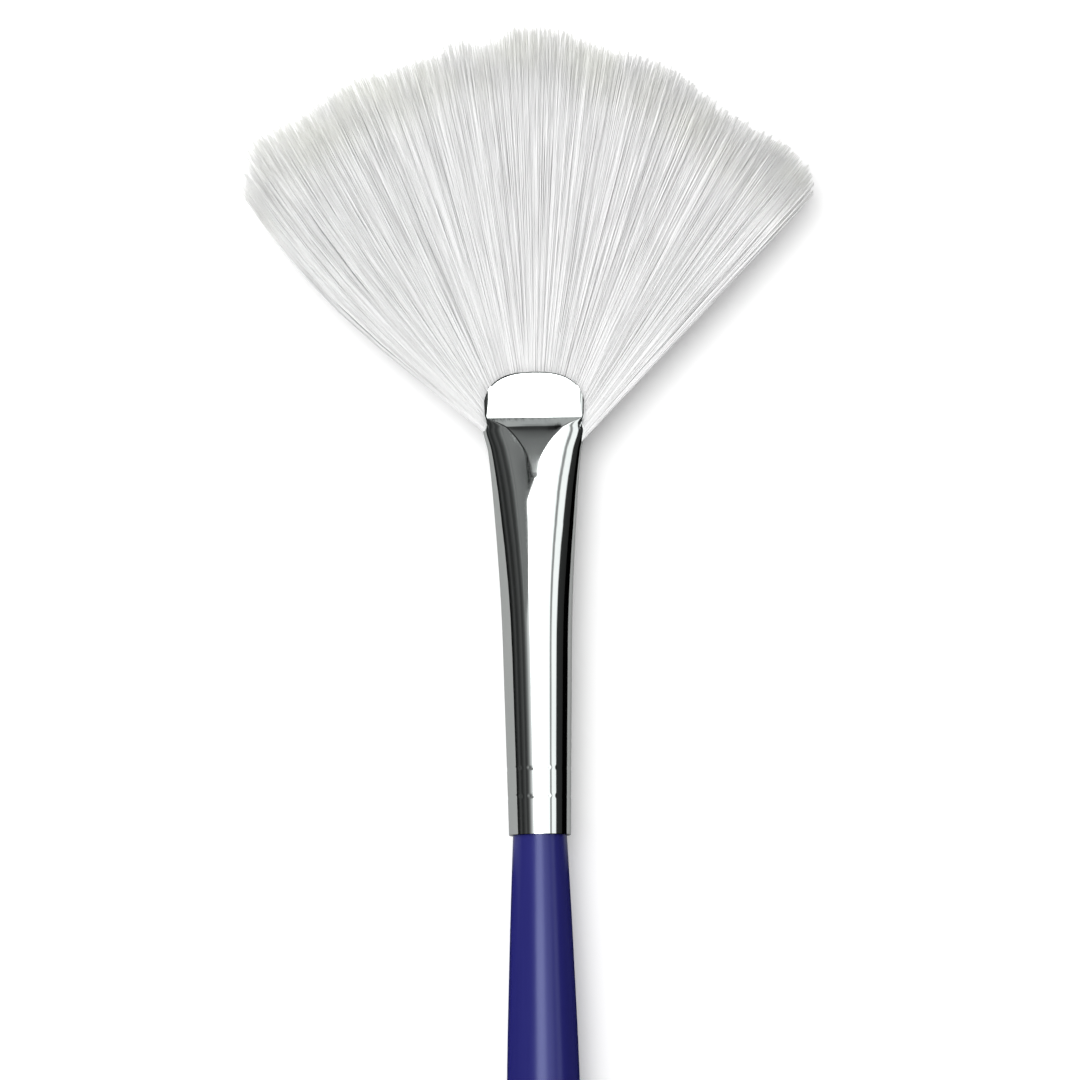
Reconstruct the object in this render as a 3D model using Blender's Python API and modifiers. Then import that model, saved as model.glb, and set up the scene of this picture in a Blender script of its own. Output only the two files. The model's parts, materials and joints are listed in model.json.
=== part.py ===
"""Artist's fan brush: turned lacquered handle, pressed nickel ferrule and a fan of synthetic filament locks.

The brush is modelled upright about its own Z axis, with z = 0 at the ferrule's handle end, the tips at +Z
and the fan spread in the XZ plane. An empty then lays it on its back: the tips point along world +Y, and
the thickest part of the handle touches the ground at world z = 0.
"""

import math

import bmesh
import bpy
import numpy as np

MM = 0.001

# Handle: exposed length below the ferrule, and (z, radius) stations from the butt up to the ferrule
HANDLE_LENGTH = 235 * MM
BELLY_RADIUS = 3.8 * MM
BUTT_DOME = 5 * MM
BUTT_FLAT_RADIUS = 1.0 * MM
HANDLE_STATIONS = [
    (-230 * MM, 2.05 * MM),
    (-200 * MM, 2.4 * MM),
    (-150 * MM, 3.0 * MM),
    (-100 * MM, 3.5 * MM),
    (-55 * MM, BELLY_RADIUS),
    (-22 * MM, 3.25 * MM),
    (-10 * MM, 2.85 * MM),
    (-4 * MM, 2.6 * MM),
    (0.0, 2.41 * MM),
]
SHOULDER_END = -22 * MM
BELLY_TOP = -28 * MM
BUTT_STEPS = 4
TENON_TOP = 22 * MM
TENON_STEP = 8 * MM
TENON_CHAMFER = 0.4 * MM

# Ferrule: half-width across the fan, half-depth through it, and the depth left by the press
WALL = 0.3 * MM
FOOT_RADIUS = 2.77 * MM
HALF_WIDTH = [
    (0.0, FOOT_RADIUS),
    (12 * MM, 3.0 * MM),
    (21 * MM, 3.22 * MM),
    (30 * MM, 3.77 * MM),
    (34.6 * MM, 4.2 * MM),
    (36.4 * MM, 4.6 * MM),
    (37.1 * MM, 4.48 * MM),
    (38 * MM, 4.6 * MM),
    (43 * MM, 4.6 * MM),
]
HALF_DEPTH = [
    (0.0, FOOT_RADIUS),
    (12 * MM, 2.82 * MM),
    (21 * MM, 2.74 * MM),
    (30 * MM, 2.22 * MM),
    (34.2 * MM, 1.8 * MM),
    (36.8 * MM, 1.6 * MM),
    (38 * MM, 1.3 * MM),
    (43 * MM, 1.3 * MM),
]
FACET_FOOT = 32.1 * MM
CREASE = 37.6 * MM
LIP_HALF_DEPTH = 1.0 * MM
PRESSED_DEPTH = [
    (FACET_FOOT, 2.02 * MM),
    (34.2 * MM, 1.77 * MM),
    (36.8 * MM, 1.34 * MM),
    (CREASE, LIP_HALF_DEPTH),
]
TUBE_HEIGHTS = [12 * MM, 18 * MM, 24 * MM, 28 * MM]
MOUTH_HEIGHTS = [z * MM for z in (31, 32.1, 33.2, 34.4, 35.5, 36.4, 36.8, 37.1, 37.35, 37.6, 38.4, 42.4)]
CRIMP_HEIGHTS = (3.42 * MM, 5.94 * MM)
CRIMP_HALF_WIDTH = 0.3 * MM
CRIMP_DEPTH = 0.12 * MM

# Arched mouth: the lip's rim is the upper half of a superellipse about (0, ARCH_SPRING)
ARCH_SPRING = 37.65 * MM
ARCH_HALF_WIDTH = 4.6 * MM
ARCH_RISE = 4.05 * MM
ARCH_POWER = 2.8
ARCH_STEPS = 24
SIDE_SLOT_FOOT = 36.9 * MM
SIDE_SLOT_HALF_DEPTH = 0.45 * MM
CUTTER_REACH = 6 * MM
CUTTER_TOP = 44 * MM
CUTTER_HALF_DEPTH = 3 * MM

# Inside the ferrule
FIT = 0.05 * MM
GLUE_FILM = 0.25 * MM
PLUG_BOTTOM = 22.3 * MM
PLUG_TOP = 24.2 * MM
ROOTS_BOTTOM = 24.5 * MM
ROOTS_ROUND_RADIUS = 1.95 * MM
TIE_HEIGHT = 26.3 * MM
TIE_TURNS = 3
TIE_DIAMETER = 0.22 * MM
TIE_WAIST = 0.3 * MM

# Fan: filaments run as rays from FAN_APEX, spread by FAN_HALF_ANGLE each side, to these radii at the tips
FAN_APEX = 31.04 * MM
FAN_HALF_ANGLE = 44.0
TIP_RADII = [(0, 40.6), (15, 40.1), (28, 38.9), (38, 39.0), (42.5, 38.0), (44, 36.3)]
SIDE_BOW = 1.65 * MM
BOW_START_ANGLE = 22.0
BOW_FOOT = 39.1 * MM
LOCK_COUNT = 24
LOCK_GAP = 0.06 * MM
MOUTH_GAP = 0.3 * MM
TUFT_HALF_DEPTH = 0.68 * MM
TIP_HALF_DEPTH = 0.36 * MM
TUFT_BASE_FOOT = 37 * MM

# Flexing line of the tuft: an axis along X at this height
FLEX_HEIGHT = 44.5 * MM
TUFT_BASE_TOP = FLEX_HEIGHT - TUFT_HALF_DEPTH - MOUTH_GAP

RING_POINTS = 48
TURNED_STEPS = 24


def along(stations, z):
    """Value at z on the smooth curve through (z, value) stations, held constant past both ends."""
    places, values = np.array(stations, float).T
    slopes = np.gradient(values, places)
    z = float(np.clip(z, places[0], places[-1]))
    i = int(np.clip(np.searchsorted(places, z) - 1, 0, len(places) - 2))
    step = places[i + 1] - places[i]
    t = (z - places[i]) / step
    rise = values[i + 1] - values[i]
    bend = t * (1 - t) * ((1 - t) * (slopes[i] * step - rise) - t * (slopes[i + 1] * step - rise))
    return values[i] + rise * t + bend


def crimp(z):
    """How far the two rolled crimp rings press in at height z."""
    nearest = min(abs(z - height) for height in CRIMP_HEIGHTS)
    return CRIMP_DEPTH * max(0.0, 1 - nearest / CRIMP_HALF_WIDTH)


def pressed_depth(z):
    """Half-depth that the flattening press leaves free at height z."""
    if z < FACET_FOOT:
        return math.inf
    return along(PRESSED_DEPTH, z)


def ferrule_ring(z, inset):
    """Section of the ferrule at height z, moved inwards by inset."""
    half_width = along(HALF_WIDTH, z) - crimp(z) - inset
    half_depth = along(HALF_DEPTH, z) - crimp(z) - inset
    limit = pressed_depth(z) - inset
    ring = []
    for k in range(RING_POINTS):
        turn = 2 * math.pi * k / RING_POINTS
        depth = half_depth * math.sin(turn)
        ring.append((half_width * math.cos(turn), max(-limit, min(limit, depth)), z))
    return ring


def round_ring(z, radius):
    turns = [2 * math.pi * k / RING_POINTS for k in range(RING_POINTS)]
    return [(radius * math.cos(turn), radius * math.sin(turn), z) for turn in turns]


def arch_outline(offset):
    """Points of the mouth's arch, from right to left, moved outwards by offset."""
    points = []
    for k in range(ARCH_STEPS + 1):
        turn = math.pi * k / ARCH_STEPS
        across, up = math.cos(turn), math.sin(turn)
        x = math.copysign(abs(across) ** (2 / ARCH_POWER), across) * (ARCH_HALF_WIDTH + offset)
        points.append((x, ARCH_SPRING + up ** (2 / ARCH_POWER) * (ARCH_RISE + offset)))
    return points


def hair_x(angle, z):
    """Distance from the middle, at height z, of the filament whose ray leaves at angle degrees."""
    top = tip_height(angle)
    share = np.clip((-angle - BOW_START_ANGLE) / (FAN_HALF_ANGLE - BOW_START_ANGLE), 0, 1)
    bow = SIDE_BOW * share * math.sin(math.pi * np.clip((z - BOW_FOOT) / (top - BOW_FOOT), -0.16, 1))
    return math.tan(math.radians(angle)) * (z - FAN_APEX) - bow


def tip_height(angle):
    angles, radii = np.array(TIP_RADII).T
    return FAN_APEX + np.interp(abs(angle), angles, radii) * MM * math.cos(math.radians(angle))


def new_object(name, mesh, collection):
    thing = bpy.data.objects.new(name, mesh)
    collection.objects.link(thing)
    return thing


def loft(name, rings, collection, closed=False):
    """Skin through rings of equally many points, closed into a tube wall or capped at both ends."""
    skin = bmesh.new()
    loops = [[skin.verts.new(point) for point in ring] for ring in rings]
    pairs = list(zip(loops, loops[1:]))
    if closed:
        pairs.append((loops[-1], loops[0]))
    else:
        skin.faces.new(loops[0])
        skin.faces.new(loops[-1])
    for lower, upper in pairs:
        for k in range(len(lower)):
            skin.faces.new((lower[k - 1], lower[k], upper[k], upper[k - 1]))
    bmesh.ops.recalc_face_normals(skin, faces=skin.faces)
    return finished(name, skin, collection)


def above_arch(offset):
    """Outline of everything beyond the mouth's arch, for the cutters."""
    outline = [(CUTTER_REACH, ARCH_SPRING)] + arch_outline(offset) + [(-CUTTER_REACH, ARCH_SPRING)]
    return outline + [(-CUTTER_REACH, CUTTER_TOP), (CUTTER_REACH, CUTTER_TOP)]


def slab(name, outline, half_depth, collection):
    """Flat outline in the XZ plane, extruded to half_depth on both sides."""
    body = bmesh.new()
    face = body.faces.new([body.verts.new((x, -half_depth, z)) for x, z in outline])
    pushed = bmesh.ops.extrude_face_region(body, geom=[face])["geom"]
    corners = [part for part in pushed if isinstance(part, bmesh.types.BMVert)]
    bmesh.ops.translate(body, verts=corners, vec=(0, 2 * half_depth, 0))
    bmesh.ops.recalc_face_normals(body, faces=body.faces)
    return finished(name, body, collection)


def finished(name, shape, collection):
    mesh = bpy.data.meshes.new(name)
    shape.to_mesh(mesh)
    shape.free()
    return new_object(name, mesh, collection)


def turned(name, profile, collection):
    """Solid of revolution from a (radius, z) profile that runs from the top down."""
    mesh = bpy.data.meshes.new(name)
    edges = [(k, k + 1) for k in range(len(profile) - 1)]
    mesh.from_pydata([(radius, 0, z) for radius, z in profile], edges, [])
    thing = new_object(name, mesh, collection)
    screw = thing.modifiers.new("turning", "SCREW")
    screw.steps = screw.render_steps = TURNED_STEPS
    screw.use_merge_vertices = True
    screw.merge_threshold = 0.00001
    screw.use_smooth_shade = True
    return thing


def cut(thing, cutter):
    """Boolean difference of thing and a hidden cutter."""
    cutter.hide_render = True
    cutter.display_type = "WIRE"
    modifier = thing.modifiers.new("cut_" + cutter.name, "BOOLEAN")
    modifier.operation = "DIFFERENCE"
    modifier.object = cutter


def material(name, colour, roughness, metallic=0.0, coat=0.0):
    finish = bpy.data.materials.new(name)
    finish.use_nodes = True
    shader = finish.node_tree.nodes["Principled BSDF"]
    shader.inputs["Base Color"].default_value = (*colour, 1)
    shader.inputs["Roughness"].default_value = roughness
    shader.inputs["Metallic"].default_value = metallic
    shader.inputs["Coat Weight"].default_value = coat
    return finish


def smooth(thing, angle=30):
    thing.data.shade_smooth()
    thing.data.set_sharp_from_angle(angle=math.radians(angle))


def make_handle(parts):
    """Turned hardwood: stepped tenon with crimp grooves, swelling belly, long taper and domed butt."""
    bore = FOOT_RADIUS - WALL - FIT
    narrow = bore - GLUE_FILM - FIT
    profile = [(0, TENON_TOP), (narrow - TENON_CHAMFER, TENON_TOP), (narrow, TENON_TOP - TENON_CHAMFER)]
    profile += [(narrow, TENON_STEP), (bore, TENON_STEP)]
    for height in sorted(CRIMP_HEIGHTS, reverse=True):
        profile.append((bore, height + CRIMP_HALF_WIDTH))
        profile.append((bore - CRIMP_DEPTH, height))
        profile.append((bore, height - CRIMP_HALF_WIDTH))
    butt_top, end_radius = HANDLE_STATIONS[0]
    profile += [(along(HANDLE_STATIONS, z), z) for z in np.linspace(0, SHOULDER_END, 8)]
    profile += [(along(HANDLE_STATIONS, z), z) for z in np.linspace(BELLY_TOP, butt_top, 14)]
    for k in range(1, BUTT_STEPS + 1):
        turn = math.pi / 2 * k / BUTT_STEPS
        radius = BUTT_FLAT_RADIUS + (end_radius - BUTT_FLAT_RADIUS) * math.cos(turn)
        profile.append((radius, -HANDLE_LENGTH + BUTT_DOME * (1 - math.sin(turn))))
    profile.append((0, -HANDLE_LENGTH))
    handle = turned("handle", profile, parts)
    handle.data.materials.append(material("indigo_lacquer", (0.026, 0.026, 0.165), 0.15, coat=1.0))
    return handle


def make_ferrule(parts, cutters):
    """Seamless tube wall, crimped at the foot, flared and pressed flat at the mouth, with an arched rim."""
    heights = [0.0]
    for height in CRIMP_HEIGHTS:
        heights += [height - CRIMP_HALF_WIDTH, height, height + CRIMP_HALF_WIDTH]
    heights += TUBE_HEIGHTS + MOUTH_HEIGHTS
    outer = [ferrule_ring(z, 0.0) for z in heights]
    inner = [ferrule_ring(z, WALL) for z in reversed(heights)]
    ferrule = loft("ferrule", outer + inner, parts, closed=True)
    cut(ferrule, slab("mouth_arch", above_arch(0.0), CUTTER_HALF_DEPTH, cutters))
    slots = [(-CUTTER_REACH, SIDE_SLOT_FOOT), (CUTTER_REACH, SIDE_SLOT_FOOT)]
    slots += [(CUTTER_REACH, CUTTER_TOP), (-CUTTER_REACH, CUTTER_TOP)]
    cut(ferrule, slab("side_slots", slots, SIDE_SLOT_HALF_DEPTH, cutters))
    smooth(ferrule)
    ferrule.data.materials.append(material("nickel_plate", (0.78, 0.79, 0.79), 0.08, metallic=1.0))
    return ferrule


def make_handle_adhesive(parts):
    """Film of glue that fills the ring between the narrow tenon and the ferrule's bore."""
    heights = np.linspace(TENON_STEP + MOUTH_GAP, TENON_TOP - MOUTH_GAP, 5)
    inner_radius = FOOT_RADIUS - WALL - GLUE_FILM - FIT
    outer = [ferrule_ring(z, WALL + FIT) for z in heights]
    inner = [round_ring(z, inner_radius) for z in reversed(heights)]
    film = loft("handle_adhesive", outer + inner, parts, closed=True)
    film.data.materials.append(material("clear_amber_glue", (0.6, 0.42, 0.18), 0.3))
    return film


def make_glue_plug(parts):
    """Cured epoxy disc under the filament roots."""
    rings = [ferrule_ring(z, WALL + FIT) for z in (PLUG_BOTTOM, PLUG_TOP)]
    plug = loft("glue_plug", rings, parts)
    plug.data.materials.append(material("cured_epoxy", (0.35, 0.2, 0.07), 0.25))
    return plug


def make_root_bundle(parts, cutters):
    """Filament roots: tied round at the foot, then filling the flattened mouth up to just under the rim."""
    waist = ROOTS_ROUND_RADIUS - TIE_WAIST
    half_tie = (TIE_TURNS / 2 + 0.6) * TIE_DIAMETER
    rings = [round_ring(ROOTS_BOTTOM, ROOTS_ROUND_RADIUS)]
    rings.append(round_ring(TIE_HEIGHT - 1.6 * half_tie, ROOTS_ROUND_RADIUS))
    rings.append(round_ring(TIE_HEIGHT - half_tie, waist))
    rings.append(round_ring(TIE_HEIGHT + half_tie, waist))
    rings.append(round_ring(TIE_HEIGHT + 1.6 * half_tie, ROOTS_ROUND_RADIUS))
    rings += [ferrule_ring(z, WALL + FIT) for z in MOUTH_HEIGHTS]
    roots = loft("root_bundle", rings, parts)
    cut(roots, slab("roots_arch", above_arch(-MOUTH_GAP), CUTTER_HALF_DEPTH, cutters))
    roots.data.materials.append(material("glued_filament", (0.7, 0.68, 0.62), 0.5))
    return roots


def make_binding_thread(parts):
    """Thread wound round the filament roots to hold them together until the glue sets."""
    curve = bpy.data.curves.new("binding_thread", "CURVE")
    curve.dimensions = "3D"
    curve.bevel_depth = TIE_DIAMETER / 2
    curve.bevel_resolution = 1
    curve.use_fill_caps = True
    per_turn = 20
    count = TIE_TURNS * per_turn + 1
    radius = ROOTS_ROUND_RADIUS - TIE_WAIST + TIE_DIAMETER / 2 + FIT
    pitch = TIE_DIAMETER * 1.15
    line = curve.splines.new("POLY")
    line.points.add(count - 1)
    for k, point in enumerate(line.points):
        turn = 2 * math.pi * k / per_turn
        z = TIE_HEIGHT + pitch * (k / per_turn - TIE_TURNS / 2)
        point.co = (radius * math.cos(turn), radius * math.sin(turn), z, 1)
    thread = new_object("binding_thread", curve, parts)
    curve.materials.append(material("waxed_thread", (0.75, 0.72, 0.62), 0.8))
    return thread


def make_tuft_base(parts):
    """Filaments between the mouth and the flexing line: they fan out round the arch and stay still."""
    arch = arch_outline(MOUTH_GAP)
    side = ARCH_HALF_WIDTH + MOUTH_GAP
    outline = [(side, TUFT_BASE_FOOT)] + arch + [(-side, TUFT_BASE_FOOT)]
    heights = np.linspace(TUFT_BASE_FOOT, TUFT_BASE_TOP, 4)
    outline += [(hair_x(-FAN_HALF_ANGLE, z), z) for z in heights]
    outline += [(hair_x(FAN_HALF_ANGLE, z), z) for z in reversed(heights)]
    base = slab("tuft_base", outline, TUFT_HALF_DEPTH, parts)
    base.data.materials.append(bpy.data.materials["white_filament"])
    return base


def make_lock(number, parts):
    """One of the fan's locks: a thin wedge, round-nosed at the flexing line and feathered at the tips."""
    spread = 2 * FAN_HALF_ANGLE / LOCK_COUNT
    left = -FAN_HALF_ANGLE + spread * (number - 1)
    middle = left + spread / 2
    outline = ((-1, -0.4), (-0.7, -1), (0.7, -1), (1, -0.4), (1, 0.4), (0.7, 1), (-0.7, 1), (-1, 0.4))
    nose = TUFT_HALF_DEPTH
    stations = [(-0.88 * nose, 0.0, 0.47 * nose, 1.0), (-0.5 * nose, 0.0, 0.86 * nose, 1.0)]
    for share in (0.0, 0.3, 0.6, 0.85, 0.96):
        stations.append((0.0, share, nose + (TIP_HALF_DEPTH - nose) * share, 1.0))
    stations.append((0.0, 1.0, TIP_HALF_DEPTH / 3, 0.7))
    rings = []
    for drop, share, half_depth, narrowing in stations:
        ring = []
        for across, through in outline:
            angle = middle + across * narrowing * spread / 2
            z = FLEX_HEIGHT + drop + (tip_height(angle) - FLEX_HEIGHT) * share
            x = hair_x(angle, z) - across * narrowing * LOCK_GAP
            ring.append((x, through * half_depth, z))
        rings.append(ring)
    lock = loft(f"filament_lock_{number:02d}", rings, parts)
    lock.data.materials.append(bpy.data.materials["white_filament"])
    return lock


def main():
    for thing in list(bpy.data.objects):
        bpy.data.objects.remove(thing)
    scene = bpy.context.scene
    parts = bpy.data.collections.new("fan_brush")
    cutters = bpy.data.collections.new("fan_brush_cutters")
    scene.collection.children.link(parts)
    scene.collection.children.link(cutters)

    material("white_filament", (0.8, 0.8, 0.78), 0.35)
    brush = [
        make_handle(parts),
        make_ferrule(parts, cutters),
        make_handle_adhesive(parts),
        make_glue_plug(parts),
        make_root_bundle(parts, cutters),
        make_binding_thread(parts),
        make_tuft_base(parts),
    ]
    locks = [make_lock(number, parts) for number in range(1, LOCK_COUNT + 1)]

    # Lay the brush down, tips along +Y, with its bounding box centred on the origin in Y
    rest = bpy.data.objects.new("brush_axis", None)
    rest.location = (0, (HANDLE_LENGTH - tip_height(0)) / 2, BELLY_RADIUS)
    rest.rotation_euler = (-math.pi / 2, 0, 0)
    parts.objects.link(rest)
    flex = bpy.data.objects.new("tuft_flex_axis", None)
    flex.location = (0, 0, FLEX_HEIGHT)
    flex.parent = rest
    parts.objects.link(flex)
    for thing in brush + list(cutters.objects):
        thing.parent = rest
    for lock in locks:
        lock.parent = flex
        lock.location = (0, 0, -FLEX_HEIGHT)


main()
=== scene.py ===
"""Artist's fan brush on a white table: polished ferrule, lacquered handle and a fan of white filaments."""

import json
import math
import random

import bmesh
import bpy
from mathutils import Euler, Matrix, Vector
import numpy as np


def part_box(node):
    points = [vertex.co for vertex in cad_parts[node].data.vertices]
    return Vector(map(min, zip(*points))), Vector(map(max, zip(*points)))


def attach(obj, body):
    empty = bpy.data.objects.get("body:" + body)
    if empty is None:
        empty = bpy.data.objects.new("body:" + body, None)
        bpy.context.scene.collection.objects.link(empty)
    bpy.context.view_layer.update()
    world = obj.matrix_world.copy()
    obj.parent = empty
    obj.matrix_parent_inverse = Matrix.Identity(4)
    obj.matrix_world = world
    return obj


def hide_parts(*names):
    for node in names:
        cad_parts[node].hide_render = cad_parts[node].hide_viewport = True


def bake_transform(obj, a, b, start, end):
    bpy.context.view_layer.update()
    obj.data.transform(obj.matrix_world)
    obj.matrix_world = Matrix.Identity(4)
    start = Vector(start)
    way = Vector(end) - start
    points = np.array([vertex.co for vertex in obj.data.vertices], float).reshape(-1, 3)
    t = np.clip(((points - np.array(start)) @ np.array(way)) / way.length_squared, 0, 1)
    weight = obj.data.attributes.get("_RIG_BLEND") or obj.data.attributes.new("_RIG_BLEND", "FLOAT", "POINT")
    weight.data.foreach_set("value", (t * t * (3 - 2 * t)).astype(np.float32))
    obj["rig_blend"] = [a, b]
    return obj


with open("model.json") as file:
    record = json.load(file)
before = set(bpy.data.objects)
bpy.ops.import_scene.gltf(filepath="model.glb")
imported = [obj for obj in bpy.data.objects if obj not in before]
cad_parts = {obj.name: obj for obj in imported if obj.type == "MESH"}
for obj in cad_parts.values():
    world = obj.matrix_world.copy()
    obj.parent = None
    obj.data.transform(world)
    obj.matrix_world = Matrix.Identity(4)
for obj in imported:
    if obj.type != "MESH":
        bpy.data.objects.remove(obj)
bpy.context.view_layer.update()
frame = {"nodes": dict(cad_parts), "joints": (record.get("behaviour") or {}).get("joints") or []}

MM = 0.001
DEGREE = math.pi / 180

# Places taken from the frame: the brush lies along +Y, and distances run along it from the ferrule's foot
ferrule_low, ferrule_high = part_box("ferrule")
FOOT = ferrule_low.y
AXIS_HEIGHT = (ferrule_low.z + ferrule_high.z) / 2
RIM_TOP = ferrule_high.y - FOOT
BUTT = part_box("handle")[0].y - FOOT
TENON_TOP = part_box("handle")[1].y - FOOT
FLEX_LINE = frame["joints"][0]["pos_m"][1] - FOOT
BASE_LOW, BASE_HIGH = (corner.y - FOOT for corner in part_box("tuft_base"))
LOCK_NODES = sorted(name for name in frame["nodes"] if name.startswith("filament_lock"))

# Ferrule, as (distance from foot, size) stations
FOOT_RADIUS = 2.77 * MM
WALL = 0.3 * MM
GLUE_GAP = 0.05 * MM
HALF_WIDTH = [
    (0.0, FOOT_RADIUS),
    (12 * MM, 3.0 * MM),
    (21 * MM, 3.22 * MM),
    (30 * MM, 3.77 * MM),
    (34.6 * MM, 4.2 * MM),
    (36.4 * MM, 4.6 * MM),
    (37.1 * MM, 4.48 * MM),
    (38 * MM, 4.6 * MM),
    (43 * MM, 4.6 * MM),
]
HALF_DEPTH = [
    (0.0, FOOT_RADIUS),
    (12 * MM, 2.82 * MM),
    (21 * MM, 2.74 * MM),
    (30 * MM, 2.22 * MM),
    (34.2 * MM, 1.8 * MM),
    (36.5 * MM, 1.62 * MM),
    (36.8 * MM, 1.6 * MM),
    (37.9 * MM, 1.06 * MM),
    (43 * MM, 1.04 * MM),
]
LIP_SQUARENESS = 4.2
FACET_FOOT = 32.1 * MM
FACET_TOP = 36.8 * MM
STEP_TOP = 36.9 * MM
CREASE = 37.55 * MM
STEP_LENGTH = 0.62 * MM
LIP_HALF_DEPTH = 1.0 * MM
FACET_HALF_WIDTH = [
    (FACET_FOOT, 0.02 * MM),
    (34.2 * MM, 0.72 * MM),
    (36.5 * MM, 2.4 * MM),
    (CREASE, 4.0 * MM),
]
EDGE_SOFTNESS = 0.012 * MM
STEP_SOFTNESS = 0.11 * MM
CRIMPS = (3.42 * MM, 5.94 * MM)
CRIMP_HALF_WIDTH = 0.26 * MM
CRIMP_DEPTH = 0.036 * MM
CRIMP_DENTS = 20
LIP_RING_GAP = 0.06 * MM
RIM_RING_GAP = 0.25 * MM
ARCH_SPRING = 37.65 * MM
ARCH_HALF_WIDTH = 4.6 * MM
ARCH_POWER = 2.7
SLOT_FOOT = 36.9 * MM
SLOT_HALF_DEPTH = 0.45 * MM
RIM_ROUND = 0.05 * MM
FERRULE_COLUMNS = 240

# Handle
HANDLE_STATIONS = [
    (-230 * MM, 2.05 * MM),
    (-200 * MM, 2.4 * MM),
    (-150 * MM, 3.0 * MM),
    (-100 * MM, 3.5 * MM),
    (-55 * MM, 3.8 * MM),
    (-22 * MM, 3.25 * MM),
    (-10 * MM, 2.85 * MM),
    (-4 * MM, 2.6 * MM),
    (0.0, 2.41 * MM),
]
BUTT_DOME = 5 * MM
BUTT_FLAT = 1.0 * MM
TENON_STEP = 0.3 * MM
TENON_CHAMFER = 0.4 * MM
TENON_SHOULDER = 8 * MM
HANDLE_RINGS = 110
HANDLE_COLUMNS = 128

# Fan: filaments leave a point inside the ferrule as rays; tip radii by angle in degrees
FAN_APEX = 31.04 * MM
FAN_HALF_ANGLE = 44.0
TIP_RADII = [
    (-44.0, 37.6 * MM),
    (-42.0, 38.9 * MM),
    (-40.4, 39.4 * MM),
    (-38.5, 40.5 * MM),
    (-34.0, 40.2 * MM),
    (-28.0, 40.1 * MM),
    (-24.5, 40.8 * MM),
    (-18.0, 40.6 * MM),
    (-10.0, 41.0 * MM),
    (-5.0, 41.3 * MM),
    (0.0, 42.3 * MM),
    (3.0, 42.0 * MM),
    (6.0, 41.2 * MM),
    (10.0, 40.6 * MM),
    (15.0, 40.6 * MM),
    (20.0, 39.9 * MM),
    (24.0, 38.9 * MM),
    (30.0, 38.7 * MM),
    (35.0, 38.8 * MM),
    (39.0, 38.7 * MM),
    (42.0, 38.0 * MM),
    (44.0, 36.7 * MM),
]
SIDE_BOW = 1.65 * MM
BOW_START_ANGLE = 22.0
BOW_FOOT = 39.1 * MM
STRANDS_PER_LOCK = 288
CLUMPS_PER_LOCK = 12
STRAND_RADIUS = 0.036 * MM
TIP_RADIUS = 0.011 * MM
MOUTH_HALF_DEPTH = 0.42 * MM
FAN_TIP_HALF_DEPTH = 0.25 * MM
ROOT_LENGTH = 1.3 * MM
FEATHERING = 1.3 * MM
MOUTH_STRANDS = 500

KEY_LIGHT = 6.8
SKY_LIGHT = 0.76
SKY_TILT = 0.95
# Painted light: the table glows with this strength for all but mirror rays, which lightens the shadows on it
TABLE_PAINTED_GLOW = 0.13
BRIGHTEST_SKY = 5.0


def along(stations, at):
    """Value at a distance on the smooth curve through (distance, value) stations, held past both ends."""
    places = [place for place, _ in stations]
    values = [value for _, value in stations]
    at = min(max(at, places[0]), places[-1])
    last = len(places) - 1
    i = max(k for k in range(last) if places[k] <= at)

    def slope(k):
        lower, upper = max(k - 1, 0), min(k + 1, last)
        return (values[upper] - values[lower]) / (places[upper] - places[lower])

    step = places[i + 1] - places[i]
    rise = values[i + 1] - values[i]
    t = (at - places[i]) / step
    bend = t * (1 - t) * ((1 - t) * (slope(i) * step - rise) - t * (slope(i + 1) * step - rise))
    return values[i] + rise * t + bend


def smoothstep(low, high, value):
    t = min(max((value - low) / (high - low), 0.0), 1.0)
    return t * t * (3 - 2 * t)


def placed(across, distance, up):
    """World point from a place on the brush: across the fan, along it from the foot, and above its axis."""
    return Vector((across, FOOT + distance, AXIS_HEIGHT + up))


def soft_min(first, second, softness):
    """The lower of two heights, with the corner between them rounded."""
    gap = max(softness - abs(first - second), 0.0) / softness
    return min(first, second) - softness * gap * gap / 4


# ---------------------------------------------------------------- meshes


def new_piece(name, shape, finish, smooth_angle=35):
    """Finished mesh object from a bmesh, with its material and its place in the mesh."""
    mesh = bpy.data.meshes.new(name)
    shape.to_mesh(mesh)
    shape.free()
    mesh.materials.append(finish)
    mesh.shade_smooth()
    mesh.set_sharp_from_angle(angle=smooth_angle * DEGREE)
    piece = bpy.data.objects.new(name, mesh)
    bpy.context.scene.collection.objects.link(piece)
    return piece


def turned(profile, steps):
    """Profile of (radius, distance) points spun round the brush's axis."""
    shape = bmesh.new()
    verts = [shape.verts.new(placed(radius, distance, 0)) for radius, distance in profile]
    for first, second in zip(verts, verts[1:]):
        shape.edges.new((first, second))
    bmesh.ops.spin(
        shape,
        geom=shape.verts[:] + shape.edges[:],
        cent=placed(0, 0, 0),
        axis=(0, 1, 0),
        angle=2 * math.pi,
        steps=steps,
        use_merge=True,
    )
    bmesh.ops.remove_doubles(shape, verts=shape.verts, dist=0.001 * MM)
    bmesh.ops.recalc_face_normals(shape, faces=shape.faces)
    return shape


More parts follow.
